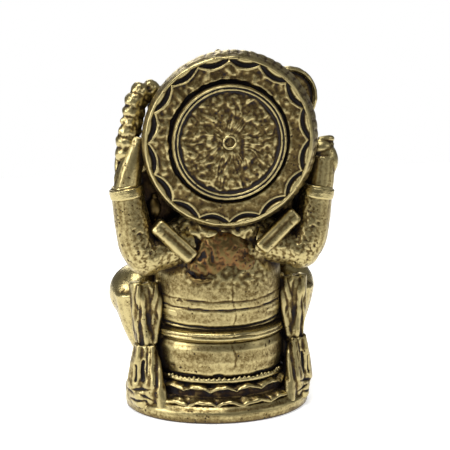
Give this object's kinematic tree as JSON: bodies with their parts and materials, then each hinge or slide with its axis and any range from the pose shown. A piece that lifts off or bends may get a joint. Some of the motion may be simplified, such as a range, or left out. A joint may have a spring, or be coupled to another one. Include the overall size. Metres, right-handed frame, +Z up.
{
  "type": "deity figurine",
  "caption": "Small aged brass figurine of a seated four-armed elephant-headed deity, with a round halo plate behind the head, on a plain oval base.",
  "frame": {"origin": "middle of the flat underside of the base", "axes": "+Z up, the statue faces -Y, its left hand is on +X"},
  "size_m": [0.0301, 0.0224, 0.0478],
  "materials": {
    "aged_brass": "cast, satin, olive-gold with dark pits",
    "rubbed_brass": "cast, rubbed bright on the raised edges",
    "dark_patina": "cast, dark brown-purple patina in the recesses",
    "reddish_patina": "rough cast, red-brown patina"
  },
  "bodies": {
    "root": {"anklets": "rubbed_brass", "axe_blade": "rubbed_brass", "axe_handle": "rubbed_brass", "base_plinth": "aged_brass", "crown": "rubbed_brass", "crown_band": "rubbed_brass", "dhoti_hem": "aged_brass", "ear_left": "aged_brass", "ear_pendants": "rubbed_brass", "ear_right": "aged_brass", "epaulette_left": "rubbed_brass", "epaulette_right": "rubbed_brass", "foot_left": "aged_brass", "foot_right": "aged_brass", "front_bangles": "rubbed_brass", "front_drape": "aged_brass", "front_forearm_left": "aged_brass", "front_forearm_right": "aged_brass", "front_hand_left": "aged_brass", "front_hand_right": "aged_brass", "front_upper_arm_left": "aged_brass", "front_upper_arm_right": "aged_brass", "halo_medallion": "dark_patina", "halo_plate": "aged_brass", "halo_rim": "rubbed_brass", "halo_rivet": "rubbed_brass", "head": "aged_brass", "hem_beads": "rubbed_brass", "hips": "aged_brass", "lotus_band": "dark_patina", "necklace": "rubbed_brass", "noose": "rubbed_brass", "rear_bangle_left": "rubbed_brass", "rear_bangle_right": "rubbed_brass", "rear_forearm_left": "aged_brass", "rear_forearm_right": "aged_brass", "rear_hand_left": "aged_brass", "rear_hand_right": "aged_brass", "rear_upper_arm_left": "aged_brass", "rear_upper_arm_right": "aged_brass", "sash_tail_left": "aged_brass", "sash_tail_right": "aged_brass", "scarf_end": "reddish_patina", "seat_pad": "dark_patina", "shin_left": "aged_brass", "shin_right": "aged_brass", "side_drape_left": "aged_brass", "side_drape_right": "aged_brass", "sweet_bowl": "rubbed_brass", "sweets": "rubbed_brass", "thigh_left": "aged_brass", "thigh_right": "aged_brass", "torso": "aged_brass", "trunk": "aged_brass", "tusk_left": "rubbed_brass", "tusk_right": "rubbed_brass", "waist_belt": "rubbed_brass", "waist_sash": "aged_brass"}
  },
  "joints": []
}
